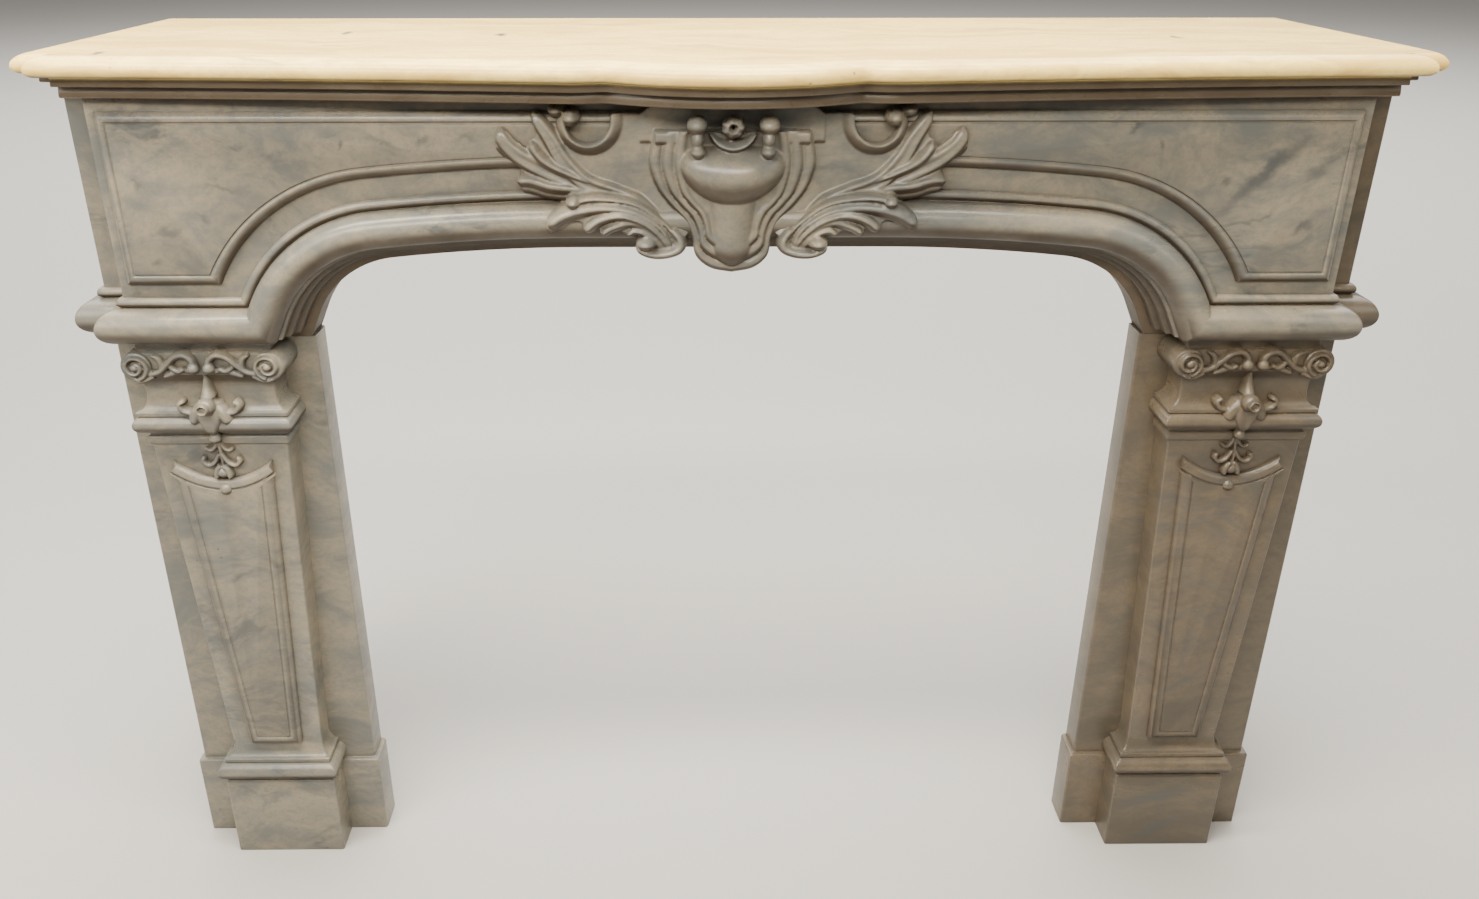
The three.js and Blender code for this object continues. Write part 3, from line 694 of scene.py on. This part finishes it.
VINE = [
    dict(line=[(64, 735), (50, 739), (39, 749), (29, 758), (18, 760), (10, 754), (9, 745)],
         wide=(4.4, 5.0, 4.6), high=(6, 10, 10), cut=1.0),
    dict(line=[(47, 743), (47, 750), (50, 756), (57, 760)], wide=(3.4, 6.0, 2.4), high=(6, 9, 6),
         cut=1.2),
    dict(line=[(37, 751), (35, 744), (27, 740), (20, 744)], wide=(3.2, 4.4, 4.0), high=(6, 9, 9),
         cut=1.0),
    dict(line=[(12, 737), (23, 741), (35, 737), (47, 732)], wide=(3.0, 7.5, 2.4), high=(5, 9, 5),
         cut=1.6),
    dict(line=[(58, 733), (66, 729), (74, 727), (82, 730)], wide=(3.2, 4.0, 3.0), high=(6, 8, 6),
         cut=0.8),
]
PENDANT = [
    dict(line=[(8, 691), (20, 686), (31, 688), (35, 696), (29, 701)], wide=(4, 6, 3.6), high=(12, 15, 13),
         cut=1.2),
    dict(line=[(4, 696), (12, 688), (18, 679), (19, 671)], wide=(8, 12, 7), high=(16, 21, 16), cut=1.8,
         tip=0.2),
    dict(line=[(2, 645), (6, 636), (12, 633), (17, 637)], wide=(2.2, 3.6, 2.8), high=(4, 5.5, 4.5),
         cut=0.6),
    dict(line=[(2, 628), (8, 617), (16, 613), (22, 618), (20, 625)], wide=(2.4, 4.2, 3.2),
         high=(5, 7, 5.5), cut=0.8),
    dict(line=[(2, 612), (6, 608), (8, 602), (8, 596)], wide=(3, 4.6, 3.4), high=(7, 10, 8), cut=1.0),
]


def capital_carving():
    side = volute()
    side += [frond(face=CAP_FACE, **sprig) for sprig in VINE]
    side.append(ball(9.0, CAP_FACE - 5, 744, 7.0, 8.0, 7.5, 18))
    side += [frond(**sprig) for sprig in PENDANT]
    cone = [(0, 734), (0, 726), (0, 717), (0, 706)]
    skirt = [(0, 700), (0, 688), (0, 674), (0, 657)]
    ring = spiral(0.0, 698.0, 5.5, 5.5, 0.0, 0.98, 16)
    stem = [(0, 655), (0, 640), (1, 625), (0, 600)]
    middle = [frond(cone, (2, 5, 9), (8, 11, 18), cut=1.6, tip=0.0),
              frond(skirt, (15, 26, 6), (17, 24, 16), ribs=3, cut=3.2, tip=0.2),
              frond(ring, (3, 3, 3), (32, 32, 32), cut=0.0, tip=0.0),
              frond(stem, (2.2, 2.4, 2.2), (3.5, 4, 4), cut=0.0)]
    beads = [(698, 11.0, -18), (652, 7.5, -7), (603, 6.5, -2), (581, 8.0, -2)]
    middle += [ball(0.0, y, z, r, r, r, 18) for z, r, y in beads]
    return both_sides(side) + middle


def pilasters():
    block = pilaster_block()
    carving = carve("capital_carving", capital_carving(), grain=0.9)
    parts = [stone("upper_block", [block[1]]), stone("shaft_panel", [shaft_panel()]), carving]
    piece = join(stone("pilaster", [block[0]]), parts)
    made = {}
    for side, sign in (("left", -1), ("right", 1)):
        copy = bpy.data.objects.new(f"carved_pilaster_{side}", piece.data.copy())
        bpy.context.scene.collection.objects.link(copy)
        copy.data.transform(Matrix.Translation((sign * PILASTER_X * MM, 0.0, 0.0)))
        made[side] = copy
    bpy.data.objects.remove(piece)
    return made


# Plain slabs, drawn for the right-hand side

def slab_ring(x0, x1, y0, y1, z, ease):
    corners = [((x0 + ease, y0 + ease), 180), ((x1 - ease, y0 + ease), 270),
               ((x1 - ease, y1 - ease), 0), ((x0 + ease, y1 - ease), 90)]
    outline = [point for centre, start in corners for point in arc(centre, ease, start, start + 90, 4)]
    return np.array([(x, y, z) for x, y in outline])


def jamb_levels():
    """Height and how far the slab stands proud there, from the plinth's foot to the top."""
    proud, top = PLINTH_PROUD, PLINTH_HIGH
    shoulder_r, arris = 3.0, 0.4
    shoulder = [(top - shoulder_r + shoulder_r * math.sin(a), proud - shoulder_r + shoulder_r * math.cos(a))
                for a in np.radians(np.linspace(0, 90, 5))]
    return [(0.0, proud - 0.8), (0.8, proud), *shoulder, (top + 0.2, 0.6), (top + 0.8, 0.0),
            (WING_BOTTOM - arris, 0.0), (WING_BOTTOM, -arris)]


def jamb_slab():
    return loft([slab_ring(SLAB_INNER - proud, SLAB_OUTER + proud, SLAB_FACE - proud, SLAB_BACK, z, 3.0)
                 for z, proud in jamb_levels()])


def jamb_return():
    inner = SLAB_OUTER - RETURN_THICK
    return loft([slab_ring(inner, SLAB_OUTER + proud, SLAB_BACK + JOINT, WALL_Y, z, 1.0)
                 for z, proud in jamb_levels()])


def frieze_return():
    """The wing with its side slab, and the moulding that runs round it."""
    inner = FRIEZE_HALF + JOINT
    back = WING_FACE + WING_THICK
    side_inner = WING_HALF - RETURN_THICK
    corner_r = 3
    plan = [(inner, back), (inner, WING_FACE),
            *arc((WING_HALF - corner_r, WING_FACE + corner_r), corner_r, 270, 360, 5),
            (WING_HALF, WALL_Y), (side_inner, WALL_Y), (side_inner, back)]
    slab = loft([[(x, y, z) for x, y in plan] for z in (WING_BOTTOM + JOINT, SHELF_UNDER)])
    section = bead_and_torus()
    u = section[:, 0]
    d = section[:, 1]
    at_wall = np.stack([WING_HALF + d, np.full(len(d), WALL_Y), SPRING_Z - u], axis=1)
    at_frieze = np.stack([np.maximum(inner + d, inner), WING_FACE - d, SPRING_Z - u], axis=1)
    return slab, loft([at_wall, *moulding_corner(section, WING_HALF, WING_FACE), at_frieze])


# Finishes

class Value:
    """A shader socket that takes part in Python sums."""

    def __init__(self, finish, socket):
        self.finish = finish
        self.socket = socket

    def _math(self, operation, first, second):
        return self.finish.node("ShaderNodeMath", dict(operation=operation), {0: first, 1: second})

    def __add__(self, other):
        return self._math("ADD", self, other)

    __radd__ = __add__

    def __sub__(self, other):
        return self._math("SUBTRACT", self, other)

    def __rsub__(self, other):
        return self._math("SUBTRACT", other, self)

    def __mul__(self, other):
        return self._math("MULTIPLY", self, other)

    __rmul__ = __mul__

    def __pow__(self, other):
        return self._math("POWER", self, other)

    def __abs__(self):
        return self._math("ABSOLUTE", self, 0.0)

    def between(self, low, high):
        """0 below low, 1 above high, smooth between."""
        settings = dict(interpolation_type="SMOOTHSTEP", clamp=True)
        limits = {"Value": self, "From Min": low, "From Max": high}
        return self.finish.node("ShaderNodeMapRange", settings, limits)


class Finish:
    """The nodes of one procedural material, or of the studio dome."""

    def __init__(self, owner):
        owner.use_nodes = True
        self.owner = owner
        self.tree = owner.node_tree
        self.tree.nodes.clear()

    def node(self, kind, settings=None, sockets=None, output=0):
        """Adds a node with its settings and then its sockets, and gives one of its outputs, if it has any."""
        made = self.tree.nodes.new(kind)
        for key, value in (settings or {}).items():
            setattr(made, key, value)
        for key, value in (sockets or {}).items():
            socket = made.inputs[key]
            if isinstance(value, Value):
                self.tree.links.new(value.socket, socket)
            else:
                socket.default_value = value
        return Value(self, made.outputs[output]) if made.outputs else None

    def mix(self, factor, first, second):
        """Two colours, mixed."""
        factor_at, first_at, second_at, result_at = 0, 6, 7, 2
        sockets = {factor_at: factor, first_at: first, second_at: second}
        return self.node("ShaderNodeMix", dict(data_type="RGBA"), sockets, result_at)

    def vector(self, operation, first, second):
        return self.node("ShaderNodeVectorMath", dict(operation=operation), {0: first, 1: second})

    def noise(self, at, scale, detail=4.0, rough=0.55, output="Fac"):
        sockets = {"Vector": at, "Scale": scale, "Detail": detail, "Roughness": rough}
        return self.node("ShaderNodeTexNoise", {}, sockets, output)

    def stirred(self, at, sway, reach):
        """Places pushed about by a coloured noise, by up to half the reach."""
        push = self.vector("SUBTRACT", sway, (0.5, 0.5, 0.5))
        return self.vector("ADD", at, self.vector("MULTIPLY", push, (reach, reach, reach)))

    def part_of(self, vector, axis):
        return self.node("ShaderNodeSeparateXYZ", {}, {0: vector}, axis)

    def surface(self, **sockets):
        named = {key.replace("_", " "): value for key, value in sockets.items()}
        shader = self.node("ShaderNodeBsdfPrincipled", {}, named)
        self.node("ShaderNodeOutputMaterial", {}, {"Surface": shader})
        return self.owner


def colour(r, g, b):
    """A colour given in screen tones, 0 to 255."""
    return tuple(((c / 255 + 0.055) / 1.055) ** 2.4 for c in (r, g, b)) + (1.0,)


PALE = colour(137, 128, 111)
CLOUD = colour(94, 97, 95)
SMUDGE = colour(70, 74, 76)
SPOT = colour(78, 74, 66)
# Brown for dirt and painted shade in the hollows, and for painted shadow under the shelf
DIRT_AND_SHADE_BROWN = colour(70, 57, 42)
# Painted shade for faces that look down and for the inside of the arch
UNDERSIDE_SHADE = colour(54, 43, 31)
# The shelf's cream: partly the stone's own tone, partly painted light on its top
TOP_LIT_CREAM = colour(246, 216, 126)
TOP_LIT_CREAM_CLOUD = colour(208, 172, 94)
# Darker copy of the marble for the right leg, as painted shade
RIGHT_SHADED_PALE = colour(104, 92, 75)
RIGHT_SHADED_CLOUD = colour(78, 73, 64)
SHADED_PALE = colour(96, 83, 67)
SHADED_CLOUD = colour(80, 72, 61)
FLOOR_PALE = colour(190, 188, 184)
FLOOR_DULL = colour(184, 182, 178)

# Depth over which painted shade darkens the arch's inside, in millimetres, and heights between which the
# painted shadow under the shelf and the painted shade on its fillets come and go, in metres
ARCH_SHADE_DEPTH = (3.0, 14.0)
SHADE_FOOT = (1.038, 1.053)
FILLET_SHADE_FOOT = (1.052, 1.056)
FILLET_TOP = (1.073, 1.078)


# Marks that show on the stones

def vein(x, z, reach, width, climb, weight):
    """A grey streak on an upright face, climbing to the right by an angle."""
    return dict(at=(x, 0.0, z), size=(reach, 1000.0, width), climb=climb, weight=weight)


def speck(x, y, width, weight):
    """A small stain on top of the shelf."""
    return dict(at=(x, y, HEIGHT), size=(width, 2.5 * width, 1000.0), climb=0.0, weight=weight)


SHELF_MARKS = [
    speck(-666, -6, 7, 1.0), speck(-455, 181, 8, 1.0), speck(-268, 158, 8, 1.0), speck(523, 130, 8, 1.0),
]
FRIEZE_MARKS = [
    vein(586, 969, 74, 11, 46, 0.85), vein(644, 974, 24, 10, 35, 0.6), vein(438, 1018, 12, 5, 22, 0.8),
    vein(468, 1001, 9, 5, 85, 0.6), vein(545, 960, 8, 5, 63, 0.6), vein(638, 910, 15, 5, 43, 0.7),
    vein(578, 878, 14, 4, -11, 0.6), vein(-425, 1003, 6, 4, 45, 0.7), vein(-378, 1006, 24, 4, -17, 0.5),
    vein(-334, 1008, 9, 6, 38, 0.6), vein(-286, 1011, 19, 5, 22, 0.5), vein(-650, 963, 7, 6, 40, 0.6),
    vein(-561, 954, 28, 4, -7, 0.5), vein(-585, 922, 13, 4, -38, 0.6), vein(-625, 905, 20, 7, 16, 0.6),
    vein(-643, 870, 10, 6, 22, 0.6),
]
PILASTER_MARKS = {
    "left": [vein(-572, 470, 20, 8, -55, 0.5), vein(-629, 382, 50, 7, 30, 0.5),
             vein(-617, 453, 20, 5, 42, 0.5)],
    "right": [vein(610, 280, 46, 6, 43, 0.5), vein(599, 85, 60, 10, 20, 0.6), vein(610, 30, 48, 11, 33, 0.6)],
}


def mark_mask(f, ragged, mark):
    """1 in the middle of a mark, fading out past its edge."""
    sockets = {"Vector": ragged, "Location": place(mark["at"]), "Scale": np.array(mark["size"]) * MM,
               "Rotation": (0.0, -math.radians(mark["climb"]), 0.0)}
    inside = f.node("ShaderNodeMapping", dict(vector_type="TEXTURE"), sockets)
    away = f.node("ShaderNodeVectorMath", dict(operation="LENGTH"), {0: inside}, "Value")
    return (1.0 - away.between(0.1, 1.2)) * mark["weight"]


def marble(name, shift, pale, cloud, smudges, marks=(), cloudy=0.8, underside_shade_from=-0.12, arch_shade=0.0,
           stretch=(1.0, 1.0, 2.2), slant=-0.65):
    """Polished white marble gone warm: grey clouds, smudges and fine spots, with dirt and painted shade in
    the hollows, and painted shade on the undersides, under the shelf and inside the arch.
    """
    f = Finish(bpy.data.materials.new(name))
    spot_on = f.node("ShaderNodeTexCoord", output="Object")
    depth = f.part_of(spot_on, "Y")
    height = f.part_of(spot_on, "Z")
    facing = f.part_of(f.node("ShaderNodeNewGeometry", output="Normal"), "Z")
    at = f.vector("ADD", spot_on, shift)
    warped = f.stirred(at, f.noise(at, 5.0, 3.0, 0.5, "Color"), 0.16)
    ragged = f.stirred(spot_on, f.noise(at, 30.0, 4.0, 0.65, "Color"), 0.03)
    bedding = {"Vector": warped, "Rotation": (0.0, slant, 0.0), "Scale": stretch}
    bedded = f.node("ShaderNodeMapping", {}, bedding)

    # The stone itself
    clouds = f.noise(bedded, 5.5, 6.0, 0.62).between(0.42, 0.66)
    mottle = f.noise(bedded, 22.0, 6.0, 0.7).between(0.38, 0.68)
    grain = f.noise(at, 120.0, 4.0, 0.75)
    smudge = f.noise(bedded, 7.5, 7.0, 0.68).between(0.56, 0.70) * f.noise(at, 3.3, 2.0).between(0.40, 0.58)
    hair = (1.0 - abs(f.noise(bedded, 4.4, 6.0, 0.6) - 0.52) * 34.0).between(0.0, 1.0)
    hair = hair * f.noise(at, 6.1, 2.0).between(0.50, 0.66)
    cells = f.node("ShaderNodeTexVoronoi", {}, {"Vector": at, "Scale": 64.0})
    spots = (1.0 - cells.between(0.04, 0.15)) * f.noise(at, 11.0, 2.0).between(0.58, 0.68)

    # Dirt and painted shade in the hollows, painted shade on the undersides and inside the arch, painted
    # shadow under the shelf and painted shade on its fillets
    nearby = dict(samples=3, only_local=True)
    open_sky = f.node("ShaderNodeAmbientOcclusion", nearby, {"Distance": 0.022}, "AO")
    patchy = 0.65 + 0.7 * f.noise(at, 17.0, 4.0)
    # Dirt and painted shade where the surface is shut in by nearby stone
    dirt_and_shade = (((1.0 - open_sky) * 1.2) ** 1.7 * patchy).between(0.03, 1.1)
    # Painted shade on faces that look down
    under = (0.0 - facing).between(underside_shade_from, underside_shade_from + 0.6) * patchy
    below_nose = 1.0 - height.between(*FILLET_TOP)
    # Painted shadow of the shelf on the band below it
    shelf_shadow = height.between(*SHADE_FOOT) * below_nose
    # Painted shade on the shelf's fillets under its nose
    fillet_shade = height.between(*FILLET_SHADE_FOOT) * below_nose
    # Painted shade on faces set back inside the arch
    arch_shaded = depth.between(*[place((0.0, y, 0.0))[1] for y in ARCH_SHADE_DEPTH]) * arch_shade

    tone = pale
    layers = [(clouds * cloudy, cloud), (mottle * 0.55, cloud), (grain.between(0.42, 0.72) * 0.45, cloud),
              (smudge * smudges, SMUDGE), (hair * (smudges * 0.6), SMUDGE), (spots * 0.8, SPOT)]
    layers += [(mark_mask(f, ragged, mark), SMUDGE) for mark in marks]
    # Painted shade on the fillets, dirt and painted shade in hollows, painted shade below, under the shelf
    # and inside the arch
    layers += [(fillet_shade * 0.9, CLOUD), (dirt_and_shade * 0.62, DIRT_AND_SHADE_BROWN), (under * 0.9, UNDERSIDE_SHADE),
               (shelf_shadow * patchy * 0.85, DIRT_AND_SHADE_BROWN), (arch_shaded, UNDERSIDE_SHADE)]
    for weight, laid_on in layers:
        tone = f.mix(weight, tone, laid_on)
    relief = grain * 0.25 + f.noise(at, 34.0, 3.0, 0.5) * 0.75
    bump = f.node("ShaderNodeBump", {}, {"Strength": 0.05, "Distance": 0.0012, "Height": relief})
    rough = 0.27 + mottle * 0.03 + dirt_and_shade * 0.4 + under * 0.3
    return f.surface(Base_Color=tone, Roughness=rough, Normal=bump, Specular_IOR_Level=0.5)


def floor_finish():
    f = Finish(bpy.data.materials.new("pale_floor"))
    at = f.node("ShaderNodeTexCoord", output="Object")
    tone = f.mix(f.noise(at, 1.5, 4.0) * 0.3, FLOOR_PALE, FLOOR_DULL)
    return f.surface(Base_Color=tone, Roughness=0.75 + f.noise(at, 9.0) * 0.1)


# Assembly

def dress(piece, node, material):
    """Gives a stone its finish and puts it in the frame in place of its node."""
    piece.data.materials.clear()
    piece.data.materials.append(material)
    piece.data.shade_smooth()
    piece.data.set_sharp_from_angle(angle=CRISP)
    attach(piece, "root")
    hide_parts(node)


# The shelf's cream carries painted top light
shelf_finish = marble("shelf_finish", (3.0, 1.0, 0.2), TOP_LIT_CREAM, TOP_LIT_CREAM_CLOUD, 0.3, SHELF_MARKS, cloudy=0.9,
                      underside_shade_from=0.45, stretch=(0.35, 3.0, 3.0), slant=0.0)
# The frieze carries painted shade inside its arch
frieze_finish = marble("frieze_finish", (0.0, 0.0, 0.0), PALE, CLOUD, 0.8, FRIEZE_MARKS, arch_shade=0.75)
backing_finish = marble("backing_finish", (7.0, 2.0, 4.0), SHADED_PALE, SHADED_CLOUD, 0.5)
dress(shelf(), "shelf", shelf_finish)
dress(frieze(), "frieze", frieze_finish)
dress(back_lintel(), "back_lintel", backing_finish)
carved = pilasters()
# The right leg's stones take the darker copy, as painted shade
for side, sign, pale, cloud in (("left", -1, PALE, CLOUD), ("right", 1, RIGHT_SHADED_PALE, RIGHT_SHADED_CLOUD)):
    shift = (2.0 + 5.0 * sign, 1.3 * sign, 3.7)
    carved_marble = marble(f"pilaster_finish_{side}", shift, pale, cloud, 0.7, PILASTER_MARKS[side])
    dress(carved[side], f"pilaster_{side}", carved_marble)
    slab_marble = marble(f"slab_finish_{side}", (9.0 * sign, 4.0, 1.0), pale, cloud, 0.6)
    for name, shape in (("jamb_slab", jamb_slab()), ("jamb_return", jamb_return())):
        piece = stone(f"plain_{name}_{side}", [handed(shape, sign)])
        dress(piece, f"{name}_{side}", slab_marble)
    wing, moulding = (handed(shape, sign) for shape in frieze_return())
    piece = join(stone(f"frieze_wing_{side}", [wing]), [stone("wing_moulding", [moulding])])
    dress(piece, f"frieze_return_{side}", slab_marble)


# Floor, light and camera

def floor():
    reach = 30.0
    corners = [(-reach, -reach, 0), (reach, -reach, 0), (reach, reach, 0), (-reach, reach, 0)]
    mesh = bpy.data.meshes.new("floor")
    mesh.from_pydata(corners, [], [(0, 1, 2, 3)])
    mesh.materials.append(floor_finish())
    piece = bpy.data.objects.new("floor", mesh)
    bpy.context.scene.collection.objects.link(piece)


def soft_box(name, at, aim, size, power, tint):
    lamp = bpy.data.lights.new(name, "AREA")
    lamp.shape = "RECTANGLE"
    lamp.size, lamp.size_y = size
    lamp.energy = power
    lamp.color = tint
    holder = bpy.data.objects.new(name, lamp)
    holder.location = at
    holder.rotation_euler = (Vector(aim) - Vector(at)).to_track_quat("-Z", "Y").to_euler()
    bpy.context.scene.collection.objects.link(holder)


def camera():
    """Stands above the shelf in front of the piece and looks down on it."""
    image_width, image_height = 1479.0, 899.0
    focal, centre_u, centre_v = 1149.3, 704.2, 381.7
    stand = (-41.4, -1256.5, 1253.0)
    yaw, pitch = math.radians(0.509), math.radians(22.969)
    turn = Matrix.Rotation(-yaw, 3, "Z")
    look = turn @ Matrix.Rotation(math.radians(90) - pitch, 3, "X")
    lens = bpy.data.cameras.new("camera")
    lens.sensor_width = 36.0
    lens.lens = focal * lens.sensor_width / image_width
    lens.shift_x = (image_width / 2 - centre_u) / image_width
    lens.shift_y = (centre_v - image_height / 2) / image_width
    holder = bpy.data.objects.new("camera", lens)
    holder.matrix_world = Matrix.Translation(place(stand)) @ look.to_4x4()
    bpy.context.scene.collection.objects.link(holder)
    bpy.context.scene.camera = holder


def sky(zenith, horizon):
    """A plain studio dome, brightest overhead."""
    dome = Finish(bpy.data.worlds.new("studio"))
    climb = dome.part_of(dome.node("ShaderNodeTexCoord", output="Generated"), "Z")
    limits = {"Value": climb, "To Min": horizon, "To Max": zenith}
    strength = dome.node("ShaderNodeMapRange", dict(interpolation_type="SMOOTHSTEP"), limits)
    glow = dome.node("ShaderNodeBackground", {}, {"Color": (1.0, 0.97, 0.92, 1.0), "Strength": strength})
    dome.node("ShaderNodeOutputWorld", {}, {"Surface": glow})
    bpy.context.scene.world = dome.owner


floor()
sky(0.42, 0.2)
soft_box("overhead", (-0.35, -0.5, 2.0), (-0.35, -0.3, 0.0), (2.0, 0.2), 60.0, (1.0, 0.93, 0.8))
soft_box("front", (-0.4, -1.25, 1.62), (-0.15, 0.0, 0.95), (1.8, 0.22), 33.0, (1.0, 0.93, 0.8))
soft_box("shelf_light", (-0.1, 0.1, 2.0), (-0.1, 0.1, 0.0), (2.0, 0.4), 45.0, (1.0, 0.93, 0.74))
soft_box("left_side", (-1.7, -1.0, 1.6), (-0.4, 0.0, 0.6), (0.8, 0.8), 11.0, (1.0, 0.93, 0.83))
soft_box("right_side", (1.7, -1.0, 1.6), (0.4, 0.0, 0.6), (0.8, 0.8), 5.0, (1.0, 0.91, 0.78))
soft_box("behind", (0.0, 5.0, 4.5), (0.0, 5.0, 0.0), (12.0, 8.0), 1350.0, (1.0, 0.97, 0.92))
camera()
